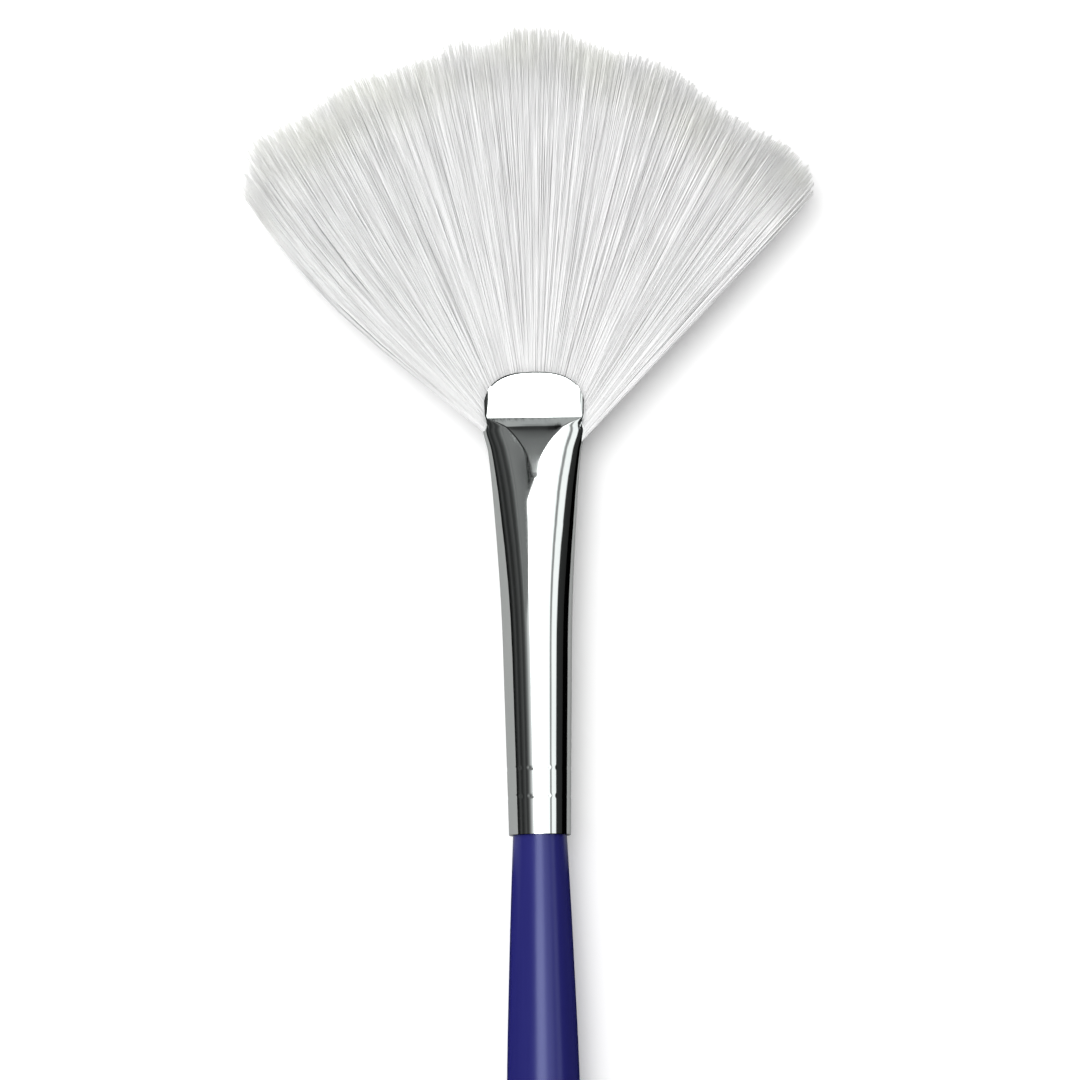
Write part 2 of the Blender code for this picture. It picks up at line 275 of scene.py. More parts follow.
def drawn(rings, join_ends):
    """Tube drawn through rings of points by extruding the first ring; the ends are joined or capped."""
    shape = bmesh.new()
    column = shape.verts.layers.int.new("column")
    ring = bmesh.ops.create_circle(shape, segments=len(rings[0]), radius=MM)["verts"]
    for k, vert in enumerate(ring):
        vert[column] = k
        vert.co = rings[0][k]
    first = edges = shape.edges[:]
    for points in rings[1:]:
        made = bmesh.ops.extrude_edge_only(shape, edges=edges)["geom"]
        edges = [part for part in made if isinstance(part, bmesh.types.BMEdge)]
        ends = {vert for edge in edges for vert in edge.verts}
        edges = [edge for edge in edges if len(edge.link_faces) == 1]
        for vert in {vert for edge in edges for vert in edge.verts} & ends:
            vert.co = points[vert[column]]
    if join_ends:
        bmesh.ops.bridge_loops(shape, edges=first + edges)
    else:
        bmesh.ops.contextual_create(shape, geom=first)
        bmesh.ops.contextual_create(shape, geom=edges)
    bmesh.ops.recalc_face_normals(shape, faces=shape.faces)
    return shape


# ---------------------------------------------------------------- shader groups


def add_node(tree, kind, **values):
    """New node; a value goes to the setting of that name, or to the socket, whose spaces are underscores."""
    node = tree.nodes.new(kind)
    for name, value in values.items():
        socket = node.inputs.get(name.replace("_", " "))
        if hasattr(node, name):
            setattr(node, name, value)
        else:
            socket.default_value = value
    return node


def stretched_noise_group():
    """Noise stretched along the brush: value between 0 and 1, for drawn metal, wood and lacquer."""
    group = bpy.data.node_groups.new("stretched_noise", "ShaderNodeTree")
    face = group.interface
    for name, value in (("Across", 1000), ("Lengthwise", 50), ("Low", 0.3), ("High", 0.7)):
        face.new_socket(name, in_out="INPUT", socket_type="NodeSocketFloat").default_value = value
    face.new_socket("Value", in_out="OUTPUT", socket_type="NodeSocketFloat")
    inputs = group.nodes.new("NodeGroupInput")
    outputs = group.nodes.new("NodeGroupOutput")
    places = group.nodes.new("ShaderNodeTexCoord")
    scale = group.nodes.new("ShaderNodeCombineXYZ")
    stretch = add_node(group, "ShaderNodeVectorMath", operation="MULTIPLY")
    noise = add_node(group, "ShaderNodeTexNoise", Scale=1.0, Detail=4.0, Roughness=0.55)
    spread = group.nodes.new("ShaderNodeMapRange")
    link = group.links.new
    link(inputs.outputs["Across"], scale.inputs["X"])
    link(inputs.outputs["Lengthwise"], scale.inputs["Y"])
    link(inputs.outputs["Across"], scale.inputs["Z"])
    link(places.outputs["Object"], stretch.inputs[0])
    link(scale.outputs["Vector"], stretch.inputs[1])
    link(stretch.outputs["Vector"], noise.inputs["Vector"])
    link(noise.outputs["Fac"], spread.inputs["Value"])
    link(inputs.outputs["Low"], spread.inputs["From Min"])
    link(inputs.outputs["High"], spread.inputs["From Max"])
    link(spread.outputs["Result"], outputs.inputs["Value"])
    return group


STRETCHED = stretched_noise_group()


def stretched(tree, across, lengthwise, low=0.3, high=0.7):
    node = tree.nodes.new("ShaderNodeGroup")
    node.node_tree = STRETCHED
    for name, value in (("Across", across), ("Lengthwise", lengthwise), ("Low", low), ("High", high)):
        node.inputs[name].default_value = value
    return node.outputs["Value"]


def blended(tree, factor, first, second):
    """Colour between first and second by factor."""
    mix = add_node(tree, "ShaderNodeMix", data_type="RGBA")
    mix.inputs[6].default_value = (*first, 1)
    mix.inputs[7].default_value = (*second, 1)
    tree.links.new(factor, mix.inputs["Factor"])
    return mix.outputs[2]


def ranged(tree, value, low, high):
    """Value from 0..1 spread over low..high."""
    node = tree.nodes.new("ShaderNodeMapRange")
    node.inputs["To Min"].default_value = low
    node.inputs["To Max"].default_value = high
    tree.links.new(value, node.inputs["Value"])
    return node.outputs["Result"]


def bumped(tree, height, distance, strength=1.0):
    bump = tree.nodes.new("ShaderNodeBump")
    bump.inputs["Distance"].default_value = distance
    bump.inputs["Strength"].default_value = strength
    tree.links.new(height, bump.inputs["Height"])
    return bump.outputs["Normal"]


def blank_finish(name, **constants):
    """Material with a Principled shader whose constant sockets are set."""
    finish = bpy.data.materials.new(name)
    finish.use_nodes = True
    shader = finish.node_tree.nodes["Principled BSDF"]
    for socket, value in constants.items():
        shader.inputs[socket.replace("_", " ")].default_value = value
    return finish, finish.node_tree, shader


# ---------------------------------------------------------------- finishes


def indigo_lacquer():
    finish, tree, shader = blank_finish(
        "indigo_lacquer", Specular_IOR_Level=0.6, Specular_Tint=(0.7, 0.75, 1.0, 1)
    )
    link = tree.links.new
    grain = stretched(tree, 700, 14)
    mottle = stretched(tree, 120, 60)
    peel = stretched(tree, 500, 300)
    colour = blended(tree, grain, (0.012, 0.012, 0.121), (0.0165, 0.0165, 0.141))
    link(colour, shader.inputs["Base Color"])
    link(ranged(tree, mottle, 0.22, 0.26), shader.inputs["Roughness"])
    link(bumped(tree, peel, 0.002 * MM), shader.inputs["Normal"])
    return finish


def nickel_plate():
    finish, tree, shader = blank_finish("nickel_plate", Metallic=1.0)
    link = tree.links.new
    streaks = stretched(tree, 2600, 30)
    patches = stretched(tree, 300, 90)
    colour = blended(tree, patches, (0.82, 0.845, 0.84), (0.87, 0.88, 0.875))
    link(colour, shader.inputs["Base Color"])
    link(ranged(tree, streaks, 0.04, 0.08), shader.inputs["Roughness"])
    link(bumped(tree, streaks, 0.0008 * MM), shader.inputs["Normal"])
    return finish


def white_filament():
    """Nylon filament: each strand has its own tone, and the feathered tips are warmer."""
    finish, tree, shader = blank_finish("white_filament", Specular_IOR_Level=0.15)
    link = tree.links.new
    tone = add_node(tree, "ShaderNodeAttribute", attribute_name="tone").outputs["Fac"]
    share = add_node(tree, "ShaderNodeAttribute", attribute_name="share").outputs["Fac"]
    body = blended(tree, tone, (0.775, 0.775, 0.775), (0.84, 0.84, 0.842))
    tip_mask = add_node(tree, "ShaderNodeMapRange", interpolation_type="SMOOTHSTEP")
    tip_mask.inputs["From Min"].default_value = 0.76
    tip_mask.inputs["From Max"].default_value = 0.96
    link(share, tip_mask.inputs["Value"])
    patches = stretched(tree, 150, 150, 0.4, 0.6)
    warm = add_node(tree, "ShaderNodeMath", operation="MULTIPLY")
    link(tip_mask.outputs["Result"], warm.inputs[0])
    link(ranged(tree, patches, 0.2, 0.9), warm.inputs[1])
    mix = add_node(tree, "ShaderNodeMix", data_type="RGBA")
    link(warm.outputs["Value"], mix.inputs["Factor"])
    link(body, mix.inputs[6])
    mix.inputs[7].default_value = (0.85, 0.855, 0.82, 1)
    link(mix.outputs[2], shader.inputs["Base Color"])
    link(ranged(tree, tone, 0.65, 0.5), shader.inputs["Roughness"])
    return finish


def hidden_finish(name, dark, light, roughness):
    """Finish of a piece inside the ferrule: two mottled tones."""
    finish, tree, shader = blank_finish(name)
    mottle = stretched(tree, 1500, 900)
    tree.links.new(blended(tree, mottle, dark, light), shader.inputs["Base Color"])
    tree.links.new(ranged(tree, mottle, roughness, roughness + 0.15), shader.inputs["Roughness"])
    tree.links.new(bumped(tree, mottle, 0.01 * MM), shader.inputs["Normal"])
    return finish


# ---------------------------------------------------------------- ferrule


def crimp_depth(distance, turn):
    """How far the rolled crimps press in: narrow grooves with a row of small dents."""
    nearest = min(abs(distance - height) for height in CRIMPS)
    dent = 0.4 + 0.6 * max(math.cos(CRIMP_DENTS * turn), 0.0)
    return CRIMP_DEPTH * dent * smoothstep(CRIMP_HALF_WIDTH, 0, nearest)


def facet_depth(distance):
    """Half-depth of the pressed facet that tapers to a point down the tube."""
    if distance <= FACET_FOOT:
        return math.inf
    share = along(FACET_HALF_WIDTH, distance) / along(HALF_WIDTH, distance)
    return along(HALF_DEPTH, min(distance, FACET_TOP)) * math.sqrt(1 - share * share)


def step_depth(across, distance):
    """Half-depth of the step from the facet down to the flat lip; it is longest in the middle."""
    share = min(abs(across) / (0.95 * ARCH_HALF_WIDTH), 0.97)
    height = facet_depth(STEP_TOP) - LIP_HALF_DEPTH
    slope = height / (STEP_LENGTH * (1 - share**2.5))
    return -soft_min(-LIP_HALF_DEPTH - (CREASE - distance) * slope, -LIP_HALF_DEPTH, STEP_SOFTNESS)


def arch_height(across):
    """Height of the mouth's arched rim."""
    share = min(abs(across) / ARCH_HALF_WIDTH, 1.0)
    return ARCH_SPRING + (RIM_TOP - ARCH_SPRING) * (1 - share**ARCH_POWER) ** (1 / ARCH_POWER)


def section_point(turn, distance, inset):
    """Place on the ferrule's bare section: an ellipse at the foot, squarer at the lip."""
    cosine, sine = math.cos(turn), math.sin(turn)
    power = 2 + (LIP_SQUARENESS - 2) * smoothstep(36.7 * MM, 37.9 * MM, distance)
    norm = (abs(cosine) ** power + abs(sine) ** power) ** (1 / power)
    width, depth = along(HALF_WIDTH, distance) - inset, along(HALF_DEPTH, distance) - inset
    return width * cosine / norm, depth * sine / norm


def rim_distance(turn):
    """Where the wall ends in a column: on the arch, or lower in the two side slots."""
    across, up = section_point(turn, 40 * MM, 0)
    arch = arch_height(across)
    slot = 1 - smoothstep(0.8 * SLOT_HALF_DEPTH, 1.2 * SLOT_HALF_DEPTH, abs(up))
    return arch + (SLOT_FOOT - arch) * slot


def column_turn(k, distance):
    """Turn of column k: the columns gather on the edges of the pressed facet, so that they stay crisp."""
    quarter = FERRULE_COLUMNS // 4
    part, step = divmod(k, quarter)
    nominal = 48 * DEGREE
    if distance <= FACET_FOOT:
        corner = math.pi / 2 - min(math.pi / 2 - nominal, (FACET_FOOT - distance) / (6 * MM))
    else:
        place = min(distance, FACET_TOP)
        corner = math.acos(along(FACET_HALF_WIDTH, place) / along(HALF_WIDTH, place))
    side = quarter * 3 // 4
    rising = step if part % 2 == 0 else quarter - step
    if rising <= side:
        turn = corner * rising / side
    else:
        turn = corner + (math.pi / 2 - corner) * (rising - side) / (quarter - side)
    return (turn, math.pi - turn, math.pi + turn, 2 * math.pi - turn)[part]


def ferrule_point(k, distance, inset):
    turn = column_turn(k, distance)
    pressed = crimp_depth(distance, turn) + inset
    across, up = section_point(turn, distance, pressed)
    if distance > FACET_FOOT:
        limit = soft_min(facet_depth(distance), step_depth(across, distance), STEP_SOFTNESS) - inset
        up = math.copysign(soft_min(abs(up), limit, EDGE_SOFTNESS), up)
    return placed(across, distance, up)


def ferrule_heights():
    """Distances of the rings: close together on the crimps and the pressed facet."""
    heights = {0.0, 0.05 * MM, 0.15 * MM}
    for height in CRIMPS:
        heights.update(height + CRIMP_HALF_WIDTH * k / 4 for k in range(-5, 6))
    heights.update(k * MM for k in range(1, 26))
    heights.update(26 * MM + k * 0.25 * MM for k in range(20))
    heights.update(FACET_FOOT + k * 0.2 * MM for k in range(-6, 22))
    return sorted(heights)


def make_ferrule(finish):
    lower = ferrule_heights()
    lip_start = lower[-1]
    nominal = [lip_start + k * LIP_RING_GAP for k in range(1, 22)]
    beyond = [nominal[-1] + k * RIM_RING_GAP for k in range(1, 16)]
    nominal += [height for height in beyond if height < RIM_TOP]
    crease_end = CREASE + 0.1 * MM

    def lip_distance(k, height):
        """Ring height in column k: level up to the crease, then fanning up to the rim."""
        rim = rim_distance(column_turn(k, CREASE)) - RIM_ROUND
        if rim < crease_end + 0.2 * MM:
            share = (height - lip_start) / (RIM_TOP - lip_start)
            return lip_start + share * (rim - lip_start)
        if height < crease_end:
            return height
        return crease_end + (height - crease_end) * (rim - crease_end) / (RIM_TOP - crease_end)

    def ring_at(height, inset):
        return [ferrule_point(k, height, inset) for k in range(FERRULE_COLUMNS)]

    def lip_ring(height, inset, rise=0.0):
        places = [lip_distance(k, height) + rise for k in range(FERRULE_COLUMNS)]
        return [ferrule_point(k, place, inset) for k, place in enumerate(places)]

    rings = [ring_at(0.0, 0.06 * MM)]
    rings += [ring_at(height, 0.0) for height in lower[1:]]
    rings += [lip_ring(height, 0.0) for height in nominal + [RIM_TOP]]
    for k in (1, 2, 3):
        turn = math.pi / 2 * k / 3
        rings.append(lip_ring(RIM_TOP, RIM_ROUND * (1 - math.cos(turn)), RIM_ROUND * math.sin(turn)))
    rings.append(lip_ring(RIM_TOP, WALL - RIM_ROUND / 2, RIM_ROUND))
    inner = [RIM_TOP, 39 * MM, CREASE, lip_start + 0.3 * MM]
    rings += [lip_ring(height, WALL) for height in inner]
    rings += [ring_at(height, WALL) for height in reversed(lower[::4])]
    shape = drawn(rings, join_ends=True)
    ferrule = new_piece("polished_ferrule", shape, finish, smooth_angle=28)
    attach(ferrule, "brush")
    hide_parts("ferrule")
    return ferrule


# ---------------------------------------------------------------- handle


def make_handle(finish):
    """Turned handle with a stepped tenon, a long belly and a domed butt."""
    bore = FOOT_RADIUS - WALL - GLUE_GAP
    narrow = bore - TENON_STEP
    profile = [(0.0, TENON_TOP), (narrow - TENON_CHAMFER, TENON_TOP), (narrow, TENON_TOP - TENON_CHAMFER)]
    profile += [(narrow, TENON_SHOULDER), (bore, TENON_SHOULDER)]
    for height in reversed(CRIMPS):
        profile += [(bore, height + CRIMP_HALF_WIDTH), (bore - CRIMP_DEPTH, height)]
        profile.append((bore, height - CRIMP_HALF_WIDTH))
    straight = -BUTT - BUTT_DOME
    for k in range(HANDLE_RINGS + 1):
        distance = -straight * (k / HANDLE_RINGS) ** 1.3
        profile.append((along(HANDLE_STATIONS, distance), distance))
    end_radius = HANDLE_STATIONS[0][1]
    for k in range(1, 13):
        turn = math.pi / 2 * k / 12
        radius = BUTT_FLAT + (end_radius - BUTT_FLAT) * math.cos(turn)
        profile.append((radius, BUTT + BUTT_DOME * (1 - math.sin(turn))))
    profile.append((0.0, BUTT))
    handle = new_piece("lacquered_handle", turned(profile, HANDLE_COLUMNS), finish)
    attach(handle, "brush")
    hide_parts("handle")
    return handle


# ---------------------------------------------------------------- filaments


def rim_radius(angle):
    """Distance from the fan's apex to the mouth's rim along a ray at angle degrees."""
    low, high = 5 * MM, 12 * MM
    for _ in range(24):
        middle = (low + high) / 2
        across, distance = middle * math.sin(angle * DEGREE), FAN_APEX + middle * math.cos(angle * DEGREE)
        inside = abs(across) < ARCH_HALF_WIDTH and distance < arch_height(across)
        low, high = (middle, high) if inside else (low, middle)
    return low


def fan_point(angle, radius, tip, up):
    """Point of a filament at a radius from the fan's apex; one side of the fan bows outwards."""
    distance = FAN_APEX + radius * math.cos(angle * DEGREE)
    top = FAN_APEX + tip * math.cos(angle * DEGREE)
    share = min(max((-angle - BOW_START_ANGLE) / (FAN_HALF_ANGLE - BOW_START_ANGLE), 0), 1)
    rise = min(max((distance - BOW_FOOT) / (top - BOW_FOOT), -0.16), 1)
    bow = SIDE_BOW * share * math.sin(math.pi * rise)
    return placed(radius * math.sin(angle * DEGREE) - bow, distance, up)


def strand_template(rings):
    """One closed filament: a thin four-sided tube, each vert marked with its ring and side."""
    shape = bmesh.new()
    ring_layer = shape.verts.layers.int.new("ring")
    side_layer = shape.verts.layers.int.new("side")
    shape.verts.layers.float.new("tone")
    shape.verts.layers.float.new("share")
    verts = bmesh.ops.create_circle(shape, segments=4, radius=MM, cap_ends=True)["verts"]
    for side, vert in enumerate(verts):
        vert[side_layer] = side
    edges = shape.edges[:]
    for ring in range(1, rings):
        made = bmesh.ops.extrude_edge_only(shape, edges=edges)["geom"]
        fresh = [part for part in made if isinstance(part, bmesh.types.BMVert)]
        edges = [part for part in made if isinstance(part, bmesh.types.BMEdge)]
        edges = [edge for edge in edges if edge.verts[0] in fresh and edge.verts[1] in fresh]
        for vert in fresh:
            vert[ring_layer] = ring
            vert.co.z = ring * MM
    bmesh.ops.contextual_create(shape, geom=edges)
    bmesh.ops.recalc_face_normals(shape, faces=shape.faces)
    mesh = bpy.data.meshes.new("strand")
    shape.to_mesh(mesh)
    shape.free()
    return mesh


def add_strand(shape, template, path, radii, tone, shares):
    """Bends a copy of the template along path, as thick as radii say."""
    start = len(shape.verts)
    shape.from_mesh(template)
    shape.verts.ensure_lookup_table()
    layers = shape.verts.layers
    ring_layer, side_layer = layers.int["ring"], layers.int["side"]
    tone_layer, share_layer = layers.float["tone"], layers.float["share"]
    frames = []
    for k, point in enumerate(path):
        ahead = path[min(k + 1, len(path) - 1)] - path[max(k - 1, 0)]
        sideways = ahead.cross(Vector((0, 0, 1))).normalized()
        frames.append((point, sideways, sideways.cross(ahead).normalized()))
    for vert in shape.verts[start:]:
        ring = vert[ring_layer]
        point, sideways, upwards = frames[ring]
        turn = math.pi / 2 * vert[side_layer]
        vert.co = point + radii[ring] * (math.cos(turn) * sideways + math.sin(turn) * upwards)
        vert[tone_layer] = tone
        vert[share_layer] = shares[ring]


STRAND_SHARES = [0.0, 0.07, 0.14, 0.2, 0.28, 0.4, 0.55, 0.7, 0.82, 0.92, 1.0]


def make_lock(number, node, template, finish, dice):
    """One lock of long filaments, in small clumps whose tips end at slightly different lengths."""
    shape = bmesh.new()
    shape.from_mesh(template)
    bmesh.ops.delete(shape, geom=shape.verts[:], context="VERTS")
    spread = 2 * FAN_HALF_ANGLE / len(LOCK_NODES)
    left = -FAN_HALF_ANGLE + spread * number
    lock_tone = dice.uniform(-0.04, 0.04)
    lock_length = dice.uniform(-0.25, 0.25) * MM
    for clump in range(CLUMPS_PER_LOCK):
        centre = left + spread * (clump + 0.5 + dice.uniform(-0.25, 0.25)) / CLUMPS_PER_LOCK
        clump_length = dice.uniform(-0.3, 0.25) * MM
        clump_tone = dice.uniform(-0.06, 0.06)
        count = STRANDS_PER_LOCK // CLUMPS_PER_LOCK
        for _ in range(count):
            offset = dice.uniform(-0.6, 0.6) * spread / CLUMPS_PER_LOCK
            tip_angle = centre + offset * 0.9
            root_angle = centre + offset + dice.gauss(0, 0.5)
            limit = FAN_HALF_ANGLE + 0.3
            tip_angle = min(max(tip_angle, -limit), limit)
            root_angle = min(max(root_angle, -limit), limit)
            tip = along(TIP_RADII, tip_angle) + lock_length + clump_length
            tip -= FEATHERING * dice.random() ** 2.4
            root = rim_radius(root_angle) - ROOT_LENGTH
            depth = dice.uniform(-1, 1)
            tip_depth = depth * 0.7 + dice.uniform(-0.3, 0.3)
            bow = dice.gauss(0, 0.05) * MM
            path, radii = [], []
            for share in STRAND_SHARES:
                angle = root_angle + (tip_angle - root_angle) * share**0.8
                radius = root + (tip - root) * share
                half = MOUTH_HALF_DEPTH + (FAN_TIP_HALF_DEPTH - MOUTH_HALF_DEPTH) * share
                up = half * (depth + (tip_depth - depth) * share)
                point = fan_point(angle, radius, tip, up)
                point.x += bow * math.sin(math.pi * share) * math.cos(angle * DEGREE)
                path.append(point)
                taper = smoothstep(0.78, 1.0, share)
                radii.append(STRAND_RADIUS + (TIP_RADIUS - STRAND_RADIUS) * taper)
            tone = min(max(0.5 + lock_tone + clump_tone + dice.gauss(0, 0.2), 0.0), 1.0)
            add_strand(shape, template, path, radii, tone, STRAND_SHARES)
    piece = new_piece(f"filaments_{number + 1:02d}", shape, finish, smooth_angle=180)
    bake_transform(piece, "brush", "tuft", start=placed(0, RIM_TOP, 0), end=placed(0, 2 * FLEX_LINE - RIM_TOP, 0))
    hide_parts(node)
    return piece


def make_mouth_filaments(template, finish, dice):
    """Short filaments that fill the fan's base between the lips."""
    shape = bmesh.new()
    shape.from_mesh(template)
    bmesh.ops.delete(shape, geom=shape.verts[:], context="VERTS")
    for _ in range(MOUTH_STRANDS):
        angle = dice.uniform(-FAN_HALF_ANGLE, FAN_HALF_ANGLE)
        root = rim_radius(angle) - ROOT_LENGTH
        tip = (BASE_HIGH - FAN_APEX) / math.cos(angle * DEGREE)
        depth = dice.uniform(-0.8, 0.8) * MOUTH_HALF_DEPTH
        path = []
        for share in STRAND_SHARES:
            path.append(fan_point(angle, root + (tip - root) * share, 38 * MM, depth * (1 - 0.3 * share)))
        radii = [STRAND_RADIUS * (1 - 0.5 * share) for share in STRAND_SHARES]
        add_strand(shape, template, path, radii, dice.uniform(0.3, 0.8), [0.0] * len(STRAND_SHARES))
    piece = new_piece("mouth_filaments", shape, finish, smooth_angle=180)
    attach(piece, "brush")
    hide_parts("tuft_base")
    return piece


# ---------------------------------------------------------------- table, light and camera


def make_table():
    """White table with a little painted glow for all but mirror rays, which lightens its shadows; mirrors see a
    painted reflection instead, the table grey near the ferrule and dark further off.
    """
    shape = bmesh.new()
    bmesh.ops.create_grid(shape, x_segments=1, y_segments=1, size=2.5)
    finish, tree, shader = blank_finish("white_table", Roughness=0.9, Specular_IOR_Level=0.0)
    link = tree.links.new
    mottle = stretched(tree, 20, 20)
    paper = blended(tree, mottle, (0.93, 0.93, 0.93), (0.95, 0.95, 0.95))
    places = tree.nodes.new("ShaderNodeTexCoord")
    split = tree.nodes.new("ShaderNodeSeparateXYZ")
    link(places.outputs["Object"], split.inputs["Vector"])
    # Painted reflection: mirror rays see the table grey beside the ferrule and black far to the right and behind
    # its foot.
    shares = []
    for axis, start, end in (("X", 12.4 * MM, 10.8 * MM), ("Y", FOOT - 3 * MM, FOOT)):
        ramp = tree.nodes.new("ShaderNodeMapRange")
        ramp.inputs["From Min"].default_value = start
        ramp.inputs["From Max"].default_value = end
        link(split.outputs[axis], ramp.inputs["Value"])
        shares.append(ramp.outputs["Result"])
    both = add_node(tree, "ShaderNodeMath", operation="MULTIPLY")
    link(shares[0], both.inputs[0])
    link(shares[1], both.inputs[1])
    painted_reflection = blended(tree, both.outputs["Value"], (0.0, 0.0, 0.0), (0.33, 0.335, 0.33))
    path = tree.nodes.new("ShaderNodeLightPath")
    mix = add_node(tree, "ShaderNodeMix", data_type="RGBA")
    link(path.outputs["Is Glossy Ray"], mix.inputs["Factor"])
    link(paper, mix.inputs[6])
    link(painted_reflection, mix.inputs[7])
    link(mix.outputs[2], shader.inputs["Base Color"])
    # Painted light: the table glows for all but mirror rays, which lightens its shadows.
    glow = add_node(tree, "ShaderNodeMapRange")
    glow.inputs["To Min"].default_value = TABLE_PAINTED_GLOW
    glow.inputs["To Max"].default_value = 0.0
    link(path.outputs["Is Glossy Ray"], glow.inputs["Value"])
    shader.inputs["Emission Color"].default_value = (1, 1, 1, 1)
    link(glow.outputs["Result"], shader.inputs["Emission Strength"])
    table = new_piece("white_table", shape, finish)
    return table


def make_softbox():
    """Large square softbox above and to the upper left; mirrors see the studio's painted sky instead."""
    data = bpy.data.lights.new("softbox", "AREA")
    data.shape = "RECTANGLE"
    data.size, data.size_y = 0.8, 0.8
    data.energy = KEY_LIGHT
    light = bpy.data.objects.new("softbox", data)
    target = placed(0, 30 * MM, 0)
    reach = Vector((-0.26, 0.245, 1.0))
    light.location = target + reach
    light.rotation_euler = reach.to_track_quat("Z", "Y").to_euler()
    light.visible_camera = False
    light.visible_glossy = False
    bpy.context.scene.collection.objects.link(light)


def curve_node(tree, points, value):
    """Value looked up on a straight-line curve through (place, value) points, all between 0 and 1."""
    node = tree.nodes.new("ShaderNodeFloatCurve")
    curve = node.mapping.curves[0]
    while len(curve.points) < len(points):
        curve.points.new(0.5, 0.5)
    for point, place in zip(curve.points, sorted(points)):
        point.location = place
        point.handle_type = "VECTOR"
    node.mapping.update()
    tree.links.new(value, node.inputs["Value"])
    return node.outputs["Value"]


# What mirrors see from side to side (degrees from straight up, towards the right) and how bright
SKY_ACROSS = [
    (-90, 0.003),
    (-84, 0.006),
    (-80, 0.015),
    (-76, 0.04),
    (-72, 0.06),
    (-68, 0.03),
    (-62, 0.02),
    (-56, 0.05),
    (-50, 0.075),
    (-46, 0.035),
    (-42, 0.045),
    (-38, 0.1),
    (-33, 0.25),
    (-28.5, 0.55),
    (-24, 0.85),
    (-21, 1.5),
    (-18, 4.9),
    (5, 4.9),
    (11, 2.8),
    (16, 1.7),
    (33, 1.35),
    (37.5, 1.2),
    (39.5, 0.3),
    (43.5, 0.3),
    (46, 1.1),
    (60.5, 1.08),
    (63.5, 0.03),
    (90, 0.02),
]
# The same along the brush, beyond the softbox's far edge (degrees towards the tips)
SKY_BEYOND = [
    (0, 0.34),
    (16, 0.34),
    (20, 0.21),
    (27, 0.15),
    (35, 0.11),
    (42, 0.03),
    (50, 0.1),
    (56, 0.4),
    (90, 0.45),
]
# How far towards the tips the softbox reaches, from side to side
SKY_EDGE = [
    (-90, 85),
    (-36, 85),
    (-33, 6),
    (-24, 8),
    (-12, 14),
    (-3, 17.5),
    (0, 18.4),
    (10, 19),
    (20, 20.5),
    (35, 25),
    (44, 40),
    (90, 85),
]
# How much of the light beyond that edge is left, from side to side
SKY_SHADE = [
    (-90, 0.3),
    (-60, 0.2),
    (-45, 0.35),
    (-38, 0.3),
    (-30, 0.6),
    (-20, 0.55),
    (-12, 0.5),
    (-9.5, 0.05),
    (-3.5, 0.05),
    (-1.5, 0.95),
    (0, 1.0),
    (90, 1.0),
]


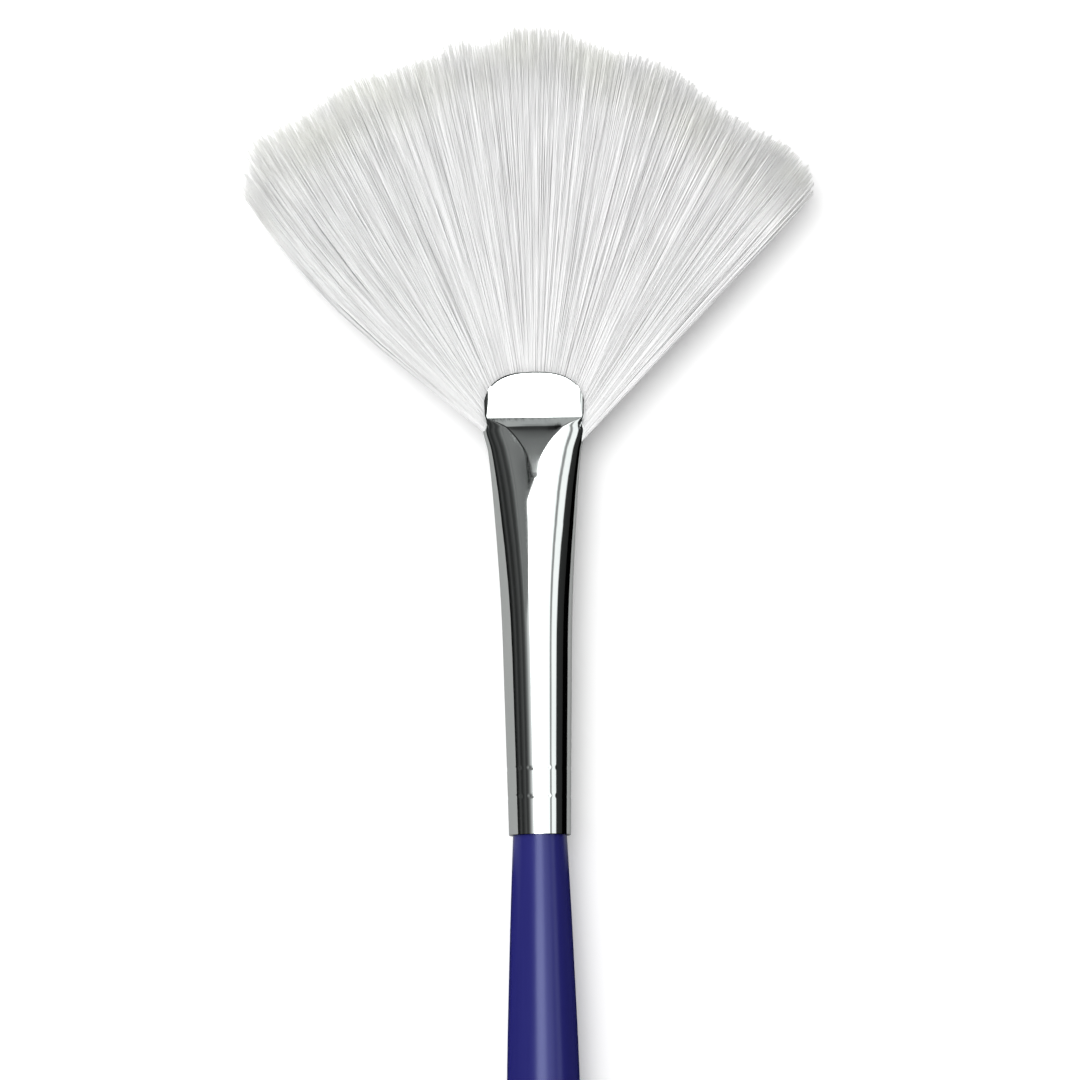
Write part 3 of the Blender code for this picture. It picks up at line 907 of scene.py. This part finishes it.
def make_world():
    """Studio sky: even for the table and filaments, bands of light and dark for the polished ferrule."""
    world = bpy.data.worlds.new("studio")
    world.use_nodes = True
    tree = world.node_tree
    link = tree.links.new
    background = tree.nodes["Background"]
    direction = add_node(tree, "ShaderNodeTexCoord")
    split = add_node(tree, "ShaderNodeSeparateXYZ")
    link(direction.outputs["Generated"], split.inputs["Vector"])
    angle = add_node(tree, "ShaderNodeMath", operation="ARCTAN2")
    link(split.outputs["X"], angle.inputs[0])
    link(split.outputs["Z"], angle.inputs[1])
    across = add_node(tree, "ShaderNodeMapRange", From_Min=-math.pi / 2, From_Max=math.pi / 2)
    link(angle.outputs["Value"], across.inputs["Value"])
    rise = add_node(tree, "ShaderNodeMath", operation="ARCSINE")
    link(split.outputs["Y"], rise.inputs[0])
    beyond = add_node(tree, "ShaderNodeMapRange", From_Min=0.0, From_Max=math.pi / 2)
    link(rise.outputs["Value"], beyond.inputs["Value"])
    side, far = across.outputs["Result"], beyond.outputs["Result"]
    band = curve_node(tree, [((a + 90) / 180, value / BRIGHTEST_SKY) for a, value in SKY_ACROSS], side)
    glow = curve_node(tree, [(a / 90, value / BRIGHTEST_SKY) for a, value in SKY_BEYOND], far)
    edge = curve_node(tree, [((a + 90) / 180, value / 90) for a, value in SKY_EDGE], side)
    shade = curve_node(tree, [((a + 90) / 180, value) for a, value in SKY_SHADE], side)
    dimmed = add_node(tree, "ShaderNodeMath", operation="MULTIPLY")
    link(glow, dimmed.inputs[0])
    link(shade, dimmed.inputs[1])
    gap = add_node(tree, "ShaderNodeMath", operation="SUBTRACT")
    link(far, gap.inputs[0])
    link(edge, gap.inputs[1])
    past = add_node(
        tree, "ShaderNodeMapRange", interpolation_type="SMOOTHSTEP", From_Min=-0.6 / 90, From_Max=0.6 / 90
    )
    link(gap.outputs["Value"], past.inputs["Value"])
    sky = add_node(tree, "ShaderNodeMix", data_type="FLOAT")
    link(past.outputs["Result"], sky.inputs["Factor"])
    link(band, sky.inputs[2])
    link(dimmed.outputs["Value"], sky.inputs[3])
    scaled = add_node(tree, "ShaderNodeVectorMath", operation="SCALE")
    scaled.inputs[0].default_value = (0.965 * BRIGHTEST_SKY, BRIGHTEST_SKY, 0.99 * BRIGHTEST_SKY)
    link(sky.outputs[0], scaled.inputs["Scale"])
    path = add_node(tree, "ShaderNodeLightPath")
    lean = add_node(tree, "ShaderNodeVectorMath", operation="DOT_PRODUCT")
    lean.inputs[1].default_value = (-0.75, 0.66, 0.0)
    link(direction.outputs["Generated"], lean.inputs[0])
    soft = add_node(tree, "ShaderNodeMapRange", From_Min=-1.0, From_Max=1.0)
    soft.inputs["To Min"].default_value = SKY_LIGHT * (1 - SKY_TILT)
    soft.inputs["To Max"].default_value = SKY_LIGHT * (1 + SKY_TILT)
    link(lean.outputs["Value"], soft.inputs["Value"])
    even = add_node(tree, "ShaderNodeMix", data_type="RGBA")
    link(soft.outputs["Result"], even.inputs[6])
    even.inputs[7].default_value = (1.0, 1.0, 1.0, 1)
    link(path.outputs["Is Camera Ray"], even.inputs["Factor"])
    pick = add_node(tree, "ShaderNodeMix", data_type="RGBA")
    link(path.outputs["Is Glossy Ray"], pick.inputs["Factor"])
    link(even.outputs[2], pick.inputs[6])
    link(scaled.outputs["Vector"], pick.inputs[7])
    link(pick.outputs[2], background.inputs["Color"])
    bpy.context.scene.world = world


def make_camera():
    """Above the head of the brush, leaning a little towards the handle."""
    frame_width = 97.0 * MM
    middle_of_view = 26.55 * MM
    distance = 0.6
    tilt, roll = 5.5 * DEGREE, 0.8 * DEGREE
    data = bpy.data.cameras.new("camera")
    data.lens = data.sensor_width * distance / frame_width
    camera = bpy.data.objects.new("camera", data)
    middle = placed(middle_of_view * math.sin(roll), middle_of_view, 0)
    aim = Euler((tilt, 0, 0)).to_matrix()
    aim.rotate(Euler((0, 0, -roll)))
    camera.location = middle + distance * aim.col[2]
    camera.rotation_euler = aim.to_euler()
    data.clip_start, data.clip_end = 0.01, 20
    bpy.context.scene.collection.objects.link(camera)
    bpy.context.scene.camera = camera


def finish_hidden_nodes():
    """Materials for the CAD pieces that stay: they sit inside the ferrule."""
    looks = {
        "handle_adhesive": ("amber_glue", (0.5, 0.34, 0.14), (0.62, 0.44, 0.2), 0.25),
        "glue_plug": ("cured_epoxy", (0.28, 0.15, 0.05), (0.38, 0.22, 0.08), 0.2),
        "root_bundle": ("glued_filament", (0.6, 0.58, 0.5), (0.74, 0.72, 0.66), 0.45),
        "binding_thread": ("waxed_thread", (0.66, 0.63, 0.52), (0.8, 0.77, 0.68), 0.7),
    }
    for node, (name, dark, light, roughness) in looks.items():
        finish = hidden_finish(name, dark, light, roughness)
        for slot in frame["nodes"][node].material_slots:
            slot.material = finish


def main():
    bpy.context.scene.view_settings.view_transform = "Standard"
    make_camera()
    make_softbox()
    make_world()
    make_table()
    make_handle(indigo_lacquer())
    make_ferrule(nickel_plate())
    finish_hidden_nodes()
    dice = random.Random(7)
    filament = white_filament()
    template = strand_template(len(STRAND_SHARES))
    for number, node in enumerate(LOCK_NODES):
        make_lock(number, node, template, filament, dice)
    make_mouth_filaments(template, filament, dice)
    bpy.data.meshes.remove(template)


main()
